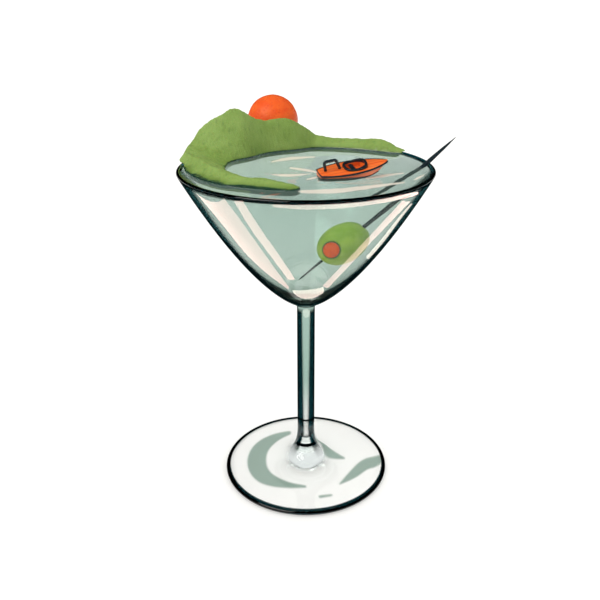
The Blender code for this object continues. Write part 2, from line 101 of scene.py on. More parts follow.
# Soft green shade that the drink throws on the table under the foot, given in the same way
FOOT_SHADES = (
    (
        (288.9, 436.5, 2.2), (275.4, 440.8, 4.5), (262.0, 450.0, 7.5), (256.4, 462.3, 10.0),
        (259.3, 474.5, 9.0), (269.4, 482.6, 6.2), (287.3, 487.8, 3.0), (304.9, 489.1, 1.2),
    ),
    ((340.1, 486.0, 0.8), (353.2, 476.5, 4.6), (364.6, 466.5, 5.4), (375.4, 464.0, 5.4), (380.0, 459.5, 2.5)),
    ((312.9, 437.8, 1.5), (314.1, 449.2, 3.0), (323.3, 456.9, 4.6), (334.0, 460.0, 3.2), (343.0, 461.5, 0.9)),
    ((320.2, 499.0, 1.4), (331.0, 497.5, 1.0)),
)

# Bands of light mirrored in the bowl: the card's brightness and colour, then its two edges in the picture's pixels
ROSE_LIGHT = (1.0, 0.62, 0.56)
CREAM_LIGHT = (1.0, 0.86, 0.76)
BOWL_BANDS = (
    (
        4.6, ROSE_LIGHT,
        ((196.5, 193.5), (216.2, 216.9), (231.0, 235.3), (245.4, 254.0), (268.6, 275.3), (288.3, 289.3)),
        ((224.5, 198.9), (236.2, 213.9), (247.8, 230.3), (259.4, 246.8), (273.4, 266.6), (289.4, 287.8)),
    ),
    (
        6.3, ROSE_LIGHT,
        ((233.8, 200.8), (249.6, 227.9), (271.7, 257.6), (288.3, 279.7)),
        ((242.5, 200.8), (258.5, 226.3), (281.0, 257.6), (295.3, 279.7)),
    ),
    (
        4.3, ROSE_LIGHT,
        ((402.6, 200.5), (384.0, 220.6), (363.1, 242.8), (340.6, 266.8), (322.5, 286.0)),
        ((410.7, 201.0), (391.9, 220.6), (370.6, 242.8), (348.2, 266.8), (328.2, 288.0)),
    ),
    (
        2.8, CREAM_LIGHT,
        ((411.0, 203.3), (397.8, 218.1), (387.2, 232.1), (375.4, 246.1), (365.8, 257.0)),
        ((412.5, 204.0), (401.2, 218.1), (391.3, 232.1), (380.5, 246.1), (368.6, 259.3)),
    ),
    (
        7.0, ROSE_LIGHT,
        ((271.7, 204.5), (299.4, 205.1), (336.5, 204.1), (373.4, 199.9), (409.7, 193.1), (418.0, 192.0)),
        ((273.4, 207.2), (299.4, 209.8), (336.5, 209.2), (373.4, 204.8), (409.7, 197.5), (418.0, 194.0)),
    ),
    (
        5.7, CREAM_LIGHT,
        ((292.3, 290.3), (301.5, 290.3), (313.1, 289.3), (323.7, 287.2)),
        ((293.7, 293.6), (301.5, 299.0), (313.1, 299.0), (323.7, 292.7)),
    ),
)

# Boat
BOAT_LENGTH = 31.5 * MM
BOAT_BEAM = 13.0 * MM
BOAT_FREEBOARD = 4.6 * MM
BOAT_DRAUGHT = 1.4 * MM
BOAT_MIDDLE = Vector((20.6, -14.0, 161.0)) * MM
BOAT_HEADING = radians(16)
BOAT_HEEL = radians(11)
BOAT_TRIM = radians(3)
DECK_CROWN = 0.35 * MM
WIDEST = 0.42
STERN_TAPER = 0.45
BOW_CURVE = (2.1, 0.8)
SHEER_AT_STERN = 0.7
SHEER_RISE = 0.48
SHEER_POWER = 1.2
BOW_END = 0.985
BOW_RAKE = 5.0 * MM
FOREFOOT_RISE = 1.6 * MM
CHINE_HEIGHT = 0.36
CHINE_WIDTH = 0.82
WELL_LENGTH = 8.4 * MM
WELL_WIDTH = 7.4 * MM
WELL_MIDDLE = 0.5 * MM
WELL_DEPTH = 2.2 * MM
HOOP_FORE_FOOT = -6.4 * MM
HOOP_AFT_FOOT = -12.8 * MM
HOOP_FORE_POST = Vector((-1.9, 0, 4.2)) * MM
HOOP_AFT_POST = Vector((-0.8, 0, 4.0)) * MM
HOOP_RADIUS = 0.66 * MM

# Sun
SUN_RADIUS = 13.0 * MM
SUN_CENTRE = Vector((-17.0, 52.4, 173.6)) * MM
SUN_BASE = 164.4 * MM

# Pick and olive
PICK_TIP = Vector((-3.05, -27.3, 119.0)) * MM
RIM_REST = Vector((57.0, 5.0, 163.95)) * MM
PICK_TAIL = 16.0 * MM
PICK_RADIUS = 1.15 * MM
PICK_SHAPE = ((0.0, 0.15), (0.01, 0.3), (0.16, 0.62), (0.5, 0.92), (0.72, 1.0), (0.84, 0.9), (0.93, 0.6), (1.0, 0.15))
OLIVE_LENGTH = 27.6 * MM
OLIVE_WIDTH = 18.4 * MM
OLIVE_BLUNTNESS = 0.86
OLIVE_CENTRE = PICK_TIP.lerp(RIM_REST, 0.315)
OLIVE_AXIS = Vector((-0.62, -0.76, -0.17)).normalized()
PIMENTO_TURN = radians(27)
PIMENTO_RADIUS = 3.4 * MM
PIMENTO_DEPTH = 4.6 * MM
PIMENTO_DOME = 0.8 * MM
TOWARD_VIEWER = Vector((-0.05, -0.95, 0.31))

# Studio
FLOOR_RADIUS = 45.0
FLOOR_GAP = 0.3 * MM
SKY_STRENGTH = 0.9
KEY_FROM = Vector((-0.55, -0.5, 0.8))
KEY_STRENGTH = 1.4
KEY_SOFTNESS = radians(40)
CARD_HEIGHT = 86.0 * MM
CARD_STEPS = 2

# Dark cards round the foot: first and last turn in degrees, near and far edge, and the rays that see them
DARK_CARDS = (
    ("dark_card_round", (0, 360), (44 * MM, 600 * MM), "glossy"),
)

# Colours, as linear red, green and blue
HILL_GREEN = (0.205, 0.33, 0.056)
HILL_LIGHT = (0.25, 0.385, 0.08)
HILL_DARK = (0.1, 0.185, 0.035)
# Painted shade for the hills in and just above the drink
SUBMERGED_SHADE_GREEN = (0.012, 0.05, 0.035)
SUN_ORANGE = (0.8, 0.082, 0.004)
SUN_LIGHT = (0.86, 0.125, 0.01)
# Painted shade in the sun's pores
SUN_PORE_SHADE = (0.6, 0.04, 0.002)
BOAT_ORANGE = (0.88, 0.13, 0.01)
BOAT_LIGHT = (0.93, 0.19, 0.02)
BOAT_DEEP = (0.55, 0.035, 0.002)
INK_GREEN = (0.004, 0.018, 0.026)
INK_WORN = (0.03, 0.06, 0.07)
# Painted shade: near black for the glass, and for the drink by the wall, seen edge on
PAINTED_EDGE_SHADE = (0.002, 0.02, 0.026)
# Painted shade for the rim
PAINTED_RIM_SHADE = (0.002, 0.05, 0.065)
# Painted shade for the stem's sides and the foot's edge
PAINTED_STEM_AND_FOOT_SHADE = (0.00002, 0.001, 0.0016)
DRINK_TINT = (0.55, 0.65, 0.605)
DRINK_PALE = (0.58, 0.68, 0.635)
DRINK_LOW = (0.46, 0.57, 0.51)
DRINK_TOP = (0.5, 0.59, 0.565)
DRINK_CLOUD = (0.38, 0.53, 0.45)
# Painted highlight for the streaks of light on the drink
HIGHLIGHT_CREAM = (0.86, 0.78, 0.67)
FOOT_SHADE = (0.3, 0.4, 0.35)


class Wire:
    """A shader socket to reckon with: an expression on wires adds its Math nodes."""

    def __init__(self, paint, socket):
        self.paint = paint
        self.socket = socket

    def reckon(self, operation, *values):
        return self.paint.node("ShaderNodeMath", {"operation": operation}, dict(enumerate(values)))

    def __add__(self, other):
        return self.reckon("ADD", self, other)

    def __sub__(self, other):
        return self.reckon("SUBTRACT", self, other)

    def __rsub__(self, other):
        return self.reckon("SUBTRACT", other, self)

    def __mul__(self, other):
        return self.reckon("MULTIPLY", self, other)

    def __pow__(self, other):
        return self.reckon("POWER", self, other)

    __radd__ = __add__
    __rmul__ = __mul__

    def fade(self, low, high):
        """0 up to low, 1 from high, with an eased step between them. Low may be the larger one."""
        sockets = {"Value": self, "From Min": low, "From Max": high}
        return self.paint.node("ShaderNodeMapRange", {"interpolation_type": "SMOOTHSTEP"}, sockets)


class Paint:
    """A material, its Principled shader and the nodes that feed it."""

    def __init__(self, name, **constants):
        self.material = bpy.data.materials.new(name)
        self.material.use_nodes = True
        self.tree = self.material.node_tree
        self.shader = self.tree.nodes["Principled BSDF"]
        self.finish(constants)

    def finish(self, constants, shader=None):
        named = {name.replace("_", " ").title().replace("Ior", "IOR"): v for name, v in constants.items()}
        self.feed(shader or self.shader, named)

    def feed(self, node, sockets):
        for key, value in sockets.items():
            socket = node.inputs[key]
            if isinstance(value, Wire):
                self.tree.links.new(value.socket, socket)
            elif socket.type == "RGBA":
                socket.default_value = (*value, 1.0)
            else:
                socket.default_value = value

    def node(self, kind, settings=None, sockets=None, output=0):
        made = self.tree.nodes.new(kind)
        for name, value in (settings or {}).items():
            setattr(made, name, value)
        self.feed(made, sockets or {})
        return Wire(self, made.outputs[output])

    def place(self, turn=(0, 0, 0), stretch=(1, 1, 1)):
        """Points of the piece, in metres, turned and then stretched."""
        here = self.node("ShaderNodeTexCoord", output="Object")
        return self.node("ShaderNodeMapping", sockets={"Vector": here, "Rotation": turn, "Scale": stretch})

    def height(self):
        here = self.node("ShaderNodeTexCoord", output="Object")
        return self.node("ShaderNodeSeparateXYZ", sockets={0: here}, output="Z")

    def radius(self):
        """Distance from the glass's axis."""
        return self.node("ShaderNodeVectorMath", {"operation": "LENGTH"}, {0: self.place(stretch=(1, 1, 0))}, "Value")

    def mottle(self, size, detail=3.0, roughness=0.5, where=None):
        """Cloudy noise from 0 to 1 with patches of about this size in metres."""
        sockets = {"Vector": where or self.place(), "Scale": 1 / size, "Detail": detail, "Roughness": roughness}
        return self.node("ShaderNodeTexNoise", sockets=sockets)

    def cells(self, size, where=None):
        """Distance to the nearest of many scattered points, in cells of this size."""
        return self.node("ShaderNodeTexVoronoi", sockets={"Vector": where or self.place(), "Scale": 1 / size})

    def mark(self, name):
        """A value that the mesh carries at each vertex."""
        return self.node("ShaderNodeAttribute", {"attribute_name": name}, output="Fac")

    def mix(self, share, first, second):
        return self.node("ShaderNodeMix", {"data_type": "RGBA"}, {0: share, 6: first, 7: second}, output=2)

    def bump(self, height, depth):
        return self.node("ShaderNodeBump", sockets={"Strength": 1.0, "Distance": depth, "Height": height})

    def absorb(self, colour, density):
        """Light is lost on its way through the piece, down to this colour over and over."""
        inside = self.node("ShaderNodeVolumeAbsorption", sockets={"Color": colour, "Density": density})
        self.tree.links.new(inside.socket, self.tree.nodes["Material Output"].inputs["Volume"])


def clear_glass():
    """Polished glass: clear in the foot, with the drink's green painted into the stem as a reflection, and painted
    shade where it is seen edge on, round the rim and round the foot's edge.
    """
    paint = Paint("clear glass", roughness=0.0, ior=1.5, transmission_weight=1.0)
    height, radius = paint.height(), paint.radius()
    facing = paint.node("ShaderNodeLayerWeight", sockets={"Blend": 0.5}, output="Facing")
    slim = height.fade(6 * MM, 14 * MM) * height.fade(BOWL_POINT + 2 * MM, BOWL_POINT - 2 * MM)
    # Painted shade: a dark band round the rim
    rim = height.fade(LIP_HEIGHT - 1.0 * MM, LIP_HEIGHT - 0.4 * MM)
    # Painted shade round the foot's outer edge
    painted_foot_shade = radius.fade(FOOT_RADIUS - 2.6 * MM, FOOT_RADIUS - 2.0 * MM) * height.fade(8 * MM, 7 * MM)
    # Painted reflection: the stem is tinted with the drink's green, fading in from 22 mm and out just above the
    # bowl's point
    stem = height.fade(22 * MM, 56 * MM) * height.fade(BOWL_POINT + 8 * MM, BOWL_POINT)
    colour = paint.mix(stem, (1.0, 1.0, 1.0), (0.36, 0.5, 0.44))
    # Painted shade: the glass goes near black where it is seen edge on, above the foot
    colour = paint.mix(facing.fade(0.68, 0.77) * height.fade(10 * MM, 18 * MM), colour, PAINTED_EDGE_SHADE)
    # Painted shade: near black on the stem's sides where they are seen edge on, and round the foot's edge
    colour = paint.mix(facing.fade(0.12, 0.22) * slim, colour, PAINTED_STEM_AND_FOOT_SHADE)
    colour = paint.mix(painted_foot_shade, colour, PAINTED_STEM_AND_FOOT_SHADE)
    draw_lines = paint.mottle(24 * MM, detail=0.0)
    paint.feed(paint.shader, {
        "Base Color": paint.mix(rim, colour, PAINTED_RIM_SHADE),
        "Normal": paint.bump(draw_lines, 0.01 * MM),
    })
    paint.absorb((0.4, 0.7, 0.65), 8)
    return paint.material


def cloudy_drink():
    """A drink that can be seen through, greener with depth, with a little cloud, painted cream highlights in streaks
    on its ripples and a painted dark shade round its edge by the wall.
    """
    wet = {"coat_weight": 0.5, "coat_roughness": 0.03, "coat_ior": 1.33}
    paint = Paint("cloudy drink", roughness=0.0, ior=1.05, transmission_weight=1.0, **wet)
    wisps = paint.mottle(22 * MM, detail=2.0, roughness=0.5)
    # Painted highlights: cream streaks along the ripples
    painted_highlights = paint.mark("painted_highlight")
    top = paint.height().fade(LEVEL - 1 * MM, LEVEL - 0.4 * MM)
    edge = inner_radius(LEVEL) + WALL_BITE
    # Painted shade: a dark ring on the drink where it meets the wall
    painted_meniscus_shade = paint.radius().fade(edge - 1.2 * MM, edge - 0.4 * MM) * top
    tint = paint.mix(wisps.fade(0.35, 0.7), DRINK_TINT, DRINK_PALE)
    tint = paint.mix(paint.height().fade(128 * MM, 104 * MM), tint, DRINK_LOW)
    tint = paint.mix(top, tint, DRINK_TOP)
    paint.feed(paint.shader, {"Base Color": paint.mix(painted_meniscus_shade, tint, PAINTED_EDGE_SHADE)})
    cloud = paint.tree.nodes.new("ShaderNodeBsdfPrincipled")
    paint.finish({"roughness": 0.5, **wet}, cloud)
    paint.feed(cloud, {"Base Color": paint.mix(painted_highlights, DRINK_CLOUD, HIGHLIGHT_CREAM)})
    share = (wisps.fade(0.3, 0.75) * 0.02 + 0.01 + top * 0.11) * (1 - painted_highlights) * (1 - painted_meniscus_shade) + painted_highlights * 0.9
    both = paint.node("ShaderNodeMixShader", sockets={0: share})
    paint.tree.links.new(paint.shader.outputs[0], both.socket.node.inputs[1])
    paint.tree.links.new(cloud.outputs[0], both.socket.node.inputs[2])
    paint.tree.links.new(both.socket, paint.tree.nodes["Material Output"].inputs["Surface"])
    paint.absorb((0.707, 0.81, 0.767), 15)
    return paint.material


def green_paste():
    """Green sugar paste: uneven colour, fine sugar grain, brushed folds, a wet edge by the drink and painted
    near-black shade from just above the drink down.
    """
    paint = Paint("green sugar paste", coat_roughness=0.15, subsurface_weight=0.08, subsurface_scale=1 * MM)
    patches = paint.mottle(13 * MM, detail=4.0, roughness=0.55)
    grain = paint.mottle(0.55 * MM, detail=2.0, roughness=0.6)
    crumbs = paint.cells(0.9 * MM)
    brushed = paint.mottle(1.6 * MM, detail=3.0, where=paint.place(stretch=(1, 1, 0.25)))
    wet = paint.height().fade(LEVEL + 2.2 * MM, LEVEL + 0.4 * MM)
    # Painted shade: near black from 1.1 mm above the drink's level down
    painted_submerged_shade = paint.height().fade(LEVEL + 1.1 * MM, LEVEL + 0.5 * MM)
    colour = paint.mix(patches.fade(0.35, 0.68), HILL_GREEN, HILL_LIGHT)
    colour = paint.mix(brushed.fade(0.52, 0.75) * 0.4, colour, HILL_DARK)
    colour = paint.mix(crumbs.fade(0.22, 0.08) * 0.35, colour, (0.5, 0.6, 0.3))
    colour = paint.mix(wet * 0.4, colour, HILL_DARK)
    colour = paint.mix(painted_submerged_shade, colour, SUBMERGED_SHADE_GREEN)
    paint.feed(paint.shader, {
        "Base Color": colour,
        "Roughness": 0.62 - wet * 0.4,
        "Coat Weight": wet * 0.8,
        "Normal": paint.bump(grain + brushed * 0.8 + patches * 0.5, 0.28 * MM),
    })
    return paint.material


def orange_paste(name, colours, grain_size, depth, **constants):
    """Orange sugar paste with a faint skin of pores, painted darker in the pores as shade."""
    paint = Paint(name, **constants)
    plain, light, pore_shade = colours
    patches = paint.mottle(7 * MM, detail=3.0)
    grain = paint.mottle(grain_size, detail=2.0)
    pores = paint.cells(grain_size * 2.2)
    colour = paint.mix(patches.fade(0.35, 0.7), plain, light)
    # Painted shade: darker in the pits of the pores
    colour = paint.mix(pores.fade(0.3, 0.1) * 0.5, colour, pore_shade)
    paint.feed(paint.shader, {
        "Base Color": colour,
        "Roughness": grain * 0.2 + 0.32,
        "Normal": paint.bump(pores.fade(0.1, 0.5) + grain * 0.5, depth),
    })
    return paint.material


def boat_paste():
    """Glazed orange paste with laid planks along the deck, and painted dark shade from the waterline down."""
    paint = Paint("glazed boat paste", coat_weight=0.35, coat_roughness=0.2)
    along = paint.place(turn=(0, 0, -BOAT_HEADING))
    planks = paint.node("ShaderNodeTexWave", {"bands_direction": "Y"}, {
        "Vector": along, "Scale": 1 / (7.4 * MM), "Distortion": 0.6, "Detail": 1.0,
    })
    seams = planks.fade(0.12, 0.02)
    streaky = paint.mottle(1.6 * MM, where=paint.place(turn=(0, 0, -BOAT_HEADING), stretch=(0.2, 1, 1)))
    colour = paint.mix(streaky.fade(0.35, 0.7), BOAT_ORANGE, BOAT_LIGHT)
    colour = paint.mix(seams * 0.55, colour, BOAT_DEEP)
    # Painted shade: near black from just above the waterline down
    colour = paint.mix(paint.height().fade(LEVEL + 1.0 * MM, LEVEL + 0.6 * MM), colour, INK_GREEN)
    paint.feed(paint.shader, {
        "Base Color": colour,
        "Roughness": streaky * 0.25 + 0.28,
        "Normal": paint.bump(streaky * 0.4 - seams, 0.12 * MM),
    })
    return paint.material


def dark_paste():
    """Near-black blue-green paste, paler where it is rubbed."""
    paint = Paint("dark trim paste", coat_weight=0.2)
    rub = paint.mottle(1.1 * MM, detail=4.0)
    paint.feed(paint.shader, {
        "Base Color": paint.mix(rub.fade(0.55, 0.8), INK_GREEN, INK_WORN),
        "Roughness": rub * 0.3 + 0.25,
        "Normal": paint.bump(rub, 0.1 * MM),
    })
    return paint.material


def stained_wood():
    """Wood stained almost black, with grain along the pick and brown where the stain is thin."""
    paint = Paint("stained pick wood", specular_ior_level=0.25)
    level_pick = (RIM_REST - PICK_TIP).to_track_quat("X", "Z").inverted().to_euler()
    grain = paint.mottle(0.35 * MM, detail=3.0, where=paint.place(turn=tuple(level_pick), stretch=(0.06, 1, 1)))
    paint.feed(paint.shader, {
        "Base Color": paint.mix(grain.fade(0.55, 0.85), INK_GREEN, (0.05, 0.045, 0.03)),
        "Roughness": grain * 0.3 + 0.35,
        "Normal": paint.bump(grain, 0.12 * MM),
    })
    return paint.material


def olive_skin():
    """Wet green skin with pale flecks."""
    paint = Paint("olive skin", coat_weight=0.12, coat_roughness=0.08, specular_ior_level=0.2)
    patches = paint.mottle(6 * MM, detail=4.0)
    flecks = paint.cells(1.5 * MM).fade(0.2, 0.06)
    pores = paint.mottle(0.5 * MM, detail=2.0)
    # Painted shade: a near-black ring in the crease round the stuffing
    painted_crease_shade = paint.mark("painted_crease_shade")
    colour = paint.mix(patches.fade(0.35, 0.7), (0.34, 0.55, 0.045), (0.46, 0.66, 0.075))
    colour = paint.mix(flecks * 0.55, colour, (0.5, 0.6, 0.2))
    colour = paint.mix(painted_crease_shade, colour, (0.02, 0.06, 0.03))
    paint.feed(paint.shader, {
        "Base Color": colour,
        "Roughness": pores * 0.2 + 0.25,
        "Normal": paint.bump(pores * 0.4 + patches, 0.15 * MM),
    })
    return paint.material


def pepper_flesh():
    """Wet orange-red pepper, painted darker in its creases as shade."""
    paint = Paint("pimento flesh", coat_weight=0.12, coat_roughness=0.1, specular_ior_level=0.2)
    folds = paint.mottle(1.7 * MM, detail=3.0)
    # Painted shade: darker where the folds sink
    colour = paint.mix(folds.fade(0.45, 0.3), (0.98, 0.11, 0.005), (0.7, 0.04, 0.002))
    paint.feed(paint.shader, {
        "Base Color": colour,
        "Roughness": folds * 0.3 + 0.2,
        "Normal": paint.bump(folds, 0.4 * MM),
    })
    return paint.material


def sight(px, py):
    """The camera's line of sight through a pixel of the picture."""
    ahead = Vector((0, cos(CAMERA_PITCH), -sin(CAMERA_PITCH)))
    upward = Vector((0, sin(CAMERA_PITCH), cos(CAMERA_PITCH)))
    across, down = (Vector((px, py)) - PICTURE_MIDDLE) / FOCAL
    return (ahead + Vector((across, 0, 0)) - upward * down).normalized()


def seen_at(point):
    """The pixel of the picture where a point is seen."""
    offset = point - CAMERA_PLACE
    depth = offset.y * cos(CAMERA_PITCH) - offset.z * sin(CAMERA_PITCH)
    height = offset.y * sin(CAMERA_PITCH) + offset.z * cos(CAMERA_PITCH)
    return PICTURE_MIDDLE + Vector((offset.x, -height)) * (FOCAL / depth)


def turned(profile, sides):
    """Spin pairs of radius and height round the Z axis into a closed skin."""
    bm = bmesh.new()
    verts = [bm.verts.new((radius, 0, height)) for radius, height in profile]
    edges = [bm.edges.new(pair) for pair in zip(verts, verts[1:])]
    bmesh.ops.spin(
        bm, geom=verts + edges, axis=(0, 0, 1), cent=(0, 0, 0), angle=2 * pi, steps=sides, use_merge=True
    )
    bmesh.ops.remove_doubles(bm, verts=bm.verts, dist=0.0005 * MM)
    bmesh.ops.recalc_face_normals(bm, faces=bm.faces)
    return bm


def as_piece(bm, name, material, sharp=50):
    """Make the mesh a shown piece of the cocktail."""
    mesh = bpy.data.meshes.new(name)
    bm.to_mesh(mesh)
    bm.free()
    mesh.materials.append(material)
    mesh.shade_smooth()
    mesh.set_sharp_from_angle(angle=radians(sharp))
    piece = bpy.data.objects.new(name, mesh)
    bpy.context.scene.collection.objects.link(piece)
    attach(piece, "root")
    return piece


def stands_for(piece, node):
    """The piece is shown in place of the CAD node, which is hidden."""
    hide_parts(node)


def curve_points(start, first, second, end, count):
    points = []
    for i in range(count + 1):
        t = i / count
        weights = ((1 - t) ** 3, 3 * t * (1 - t) ** 2, 3 * t * t * (1 - t), t**3)
        corners = (start, first, second, end)
        points.append(tuple(sum(w * c[k] for w, c in zip(weights, corners)) for k in (0, 1)))
    return points


def arc(middle, radius, first, last, count):
    """Points from one angle in degrees to another, about a middle."""
    turns = [radians(first + (last - first) * i / count) for i in range(count + 1)]
    return [(middle[0] + radius * cos(turn), middle[1] + radius * sin(turn)) for turn in turns]


def outer_radius(height):
    return RIM_RADIUS * ((height - BOWL_POINT) / (LIP_HEIGHT - BOWL_POINT)) ** BOWL_POWER


def inner_radius(height):
    share = max(height - INSIDE_BOTTOM, 0.0) / (LIP_HEIGHT - INSIDE_BOTTOM)
    return (RIM_RADIUS - WALL) * share**INSIDE_POWER


def glass_profile():
    """From the middle of the underside, up the outside, over the rim and down the inside."""
    edge = FOOT_EDGE / 2
    foot = [(FOOT_RADIUS * share, 0.0) for share in (0, 0.25, 0.5, 0.75, 0.9)]
    foot += arc((FOOT_RADIUS - edge, edge), edge, -90, 75, 14)
    flare = curve_points(
        (FOOT_RADIUS - FOOT_TOP_INSET, FOOT_TOP_HEIGHT),
        FLARE_OUTER_PULL,
        (STEM_RADIUS, FLARE_INNER_PULL),
        (STEM_RADIUS, FLARE_TOP),
        44,
    )
    stem = [(STEM_RADIUS, FLARE_TOP + (STEM_TOP - FLARE_TOP) * i / 12) for i in range(1, 12)]
    bowl_start = BOWL_POINT + (LIP_HEIGHT - BOWL_POINT) * (FILLET_RADIUS / RIM_RADIUS) ** (1 / BOWL_POWER)
    corner = (STEM_RADIUS, STEM_CORNER)
    fillet = curve_points((STEM_RADIUS, STEM_TOP), corner, corner, (FILLET_RADIUS, bowl_start), 14)
    outside = []
    for i in (*range(1, 40), 39.8):
        height = bowl_start + (LIP_HEIGHT - bowl_start) * (i / 40) ** 1.5
        outside.append((outer_radius(height), height))
    rim = arc((RIM_RADIUS - WALL / 2, LIP_HEIGHT), WALL / 2, 0, 180, 12)
    inside = []
    for i in range(39, 0, -1):
        height = INSIDE_BOTTOM + (LIP_HEIGHT - INSIDE_BOTTOM) * (i / 40) ** 2
        inside.append((inner_radius(height), height))
    return foot + flare + stem + fillet + outside + rim + inside + [(0.0, INSIDE_BOTTOM)]


def make_glass():
    bm = turned(glass_profile(), GLASS_SIDES)
    skin = BVHTree.FromBMesh(bm)
    glass = as_piece(bm, "stem_glass", clear_glass())
    glass.visible_shadow = False
    stands_for(glass, "glass")
    return skin


def to_boat(point):
    """A point on the drink in the boat's own directions: along it from its middle, and to its left."""
    offset = Vector((point.x - BOAT_MIDDLE.x, point.y - BOAT_MIDDLE.y))
    ahead = Vector((cos(BOAT_HEADING), sin(BOAT_HEADING)))
    return offset.dot(ahead), ahead.cross(offset)


def softened(points, rounds=2):
    """The line through the points with its corners cut again and again."""
    line = [Vector(point) for point in points]
    for _ in range(rounds):
        pairs = zip(line, line[1:])
        line = [line[0], *(a.lerp(b, share) for a, b in pairs for share in (0.25, 0.75)), line[-1]]
    return line


def brushed_at(strokes, point, softness):
    """How strongly any of the strokes covers a point of the piece, from 0 to 1."""
    here = seen_at(point)
    strongest = 0.0
    for stroke in strokes:
        for first, second in zip(stroke, stroke[1:]):
            start, along = first.xy, second.xy - first.xy
            share = max(0.0, min(1.0, (here - start).dot(along) / along.length_squared))
            away = (here - start - along * share).length
            width = first.z + (second.z - first.z) * share
            strongest = max(strongest, min(1.0, (width - away) / softness + 0.5))
    return strongest


def ripple_at(point):
    """Height of the ripples: rings round the hull, a V of waves behind it and a soft swell."""
    along, across = to_boat(point)
    half = BOAT_LENGTH / 2
    beyond = max(abs(along) - half, 0.0)
    beside = max(abs(across) - BOAT_BEAM / 2 * (1 - min(abs(along) / half, 1.0) ** 2), 0.0)
    away = (beyond**2 + beside**2) ** 0.5
    rings = 0.07 * MM * cos(2 * pi * away / (4.2 * MM)) * exp(-away / (9 * MM))
    behind = -along - half * 0.6
    wake = 0.0
    if behind > 0:
        arm = abs(across) - BOAT_BEAM * 0.3 - behind * 0.42
        wake = 0.13 * MM * cos(2 * pi * arm / (5.5 * MM)) * exp(-((arm / (5 * MM)) ** 2) - behind / (28 * MM))
    place = Vector((point.x, point.y * 0.6, 0))
    swell = 0.16 * MM * noise.fractal(place / (13 * MM), 1.0, 2.0, 2)
    return rings + wake + swell


def make_drink():
    """The drink reaches a little into the wall, so there is no air between it and the glass."""
    wall = [(0.0, INSIDE_BOTTOM - WALL_BITE)]
    for i in range(1, 41):
        height = INSIDE_BOTTOM + (LEVEL - INSIDE_BOTTOM) * (i / 40) ** 2
        wall.append((inner_radius(height) + WALL_BITE, height))
    rim = wall[-1][0]
    surface = [(rim * (1 - i / SURFACE_RINGS), LEVEL) for i in range(1, SURFACE_RINGS + 1)]
    bm = turned(wall + surface, DRINK_SIDES)
    painted_highlight = bm.verts.layers.float.new("painted_highlight")
    top = [v for v in bm.verts if v.co.z > LEVEL - 0.001 * MM]
    hills = BVHTree.FromObject(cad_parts["hills"], bpy.context.evaluated_depsgraph_get())
    strokes = [softened(stroke) for stroke in STREAKS]
    for vert in top:
        flat = vert.co.xy
        inset = rim - flat.length
        shore = hills.find_nearest(vert.co)[3]
        calm = min(1.0, inset / (3 * MM))
        vert.co.z += ripple_at(flat) * calm
        vert.co.z += MENISCUS_RISE * exp(-inset / MENISCUS_REACH)
        vert.co.z += 0.35 * MM * exp(-shore / (0.9 * MM))
        ragged = noise.noise(vert.co / (2.5 * MM)) * 0.6 * MM
        # Painted highlights: the streaks of light are marked on the drink's top
        vert[painted_highlight] = brushed_at(strokes, vert.co + Vector((0, ragged, 0)), 0.9)
    drink = as_piece(bm, "drink_body", cloudy_drink(), sharp=80)
    drink.visible_shadow = False
    stands_for(drink, "drink")


def settle(bm, modifiers):
    """The mesh after modifiers, each given as a kind and its settings."""
    mesh = bpy.data.meshes.new("working mesh")
    bm.to_mesh(mesh)
    bm.free()
    holder = bpy.data.objects.new("working piece", mesh)
    bpy.context.scene.collection.objects.link(holder)
    for kind, settings in modifiers:
        modifier = holder.modifiers.new(kind.lower(), kind)
        for name, value in settings.items():
            setattr(modifier, name, value)
    bpy.context.view_layer.update()
    result = bpy.data.meshes.new_from_object(holder.evaluated_get(bpy.context.evaluated_depsgraph_get()))
    bpy.data.objects.remove(holder)
    bm = bmesh.new()
    bm.from_mesh(result)
    bpy.data.meshes.remove(result)
    bpy.data.meshes.remove(mesh)
    return bm


def make_hills():
    """The frame's hills, meshed finely, worked smooth and then modelled with small folds."""
    bm = bmesh.new()
    bm.from_mesh(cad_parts["hills"].data)
    bmesh.ops.remove_doubles(bm, verts=bm.verts, dist=0.002 * MM)
    bm = settle(bm, [("REMESH", {"mode": "VOXEL", "voxel_size": 0.5 * MM})])
    for _ in range(4):
        bmesh.ops.smooth_vert(bm, verts=bm.verts, factor=0.5, use_axis_x=True, use_axis_y=True, use_axis_z=True)
    bm.normal_update()
    moves = []
    for vert in bm.verts:
        here = vert.co
        folds = noise.fractal(Vector((here.x, here.y, here.z * 0.5)) / (3.2 * MM), 0.8, 2.1, 3)
        facing_up = max(vert.normal.z, 0.0) ** 0.5
        moves.append(vert.normal * (0.3 * MM * folds * facing_up))
    lowest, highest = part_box("hills")
    for vert, move in zip(bm.verts, moves):
        moved = vert.co + move
        vert.co = [min(max(moved[k], lowest[k]), highest[k]) for k in range(3)]
    hills = as_piece(bm, "hill_ring", green_paste(), sharp=75)
    stands_for(hills, "hills")


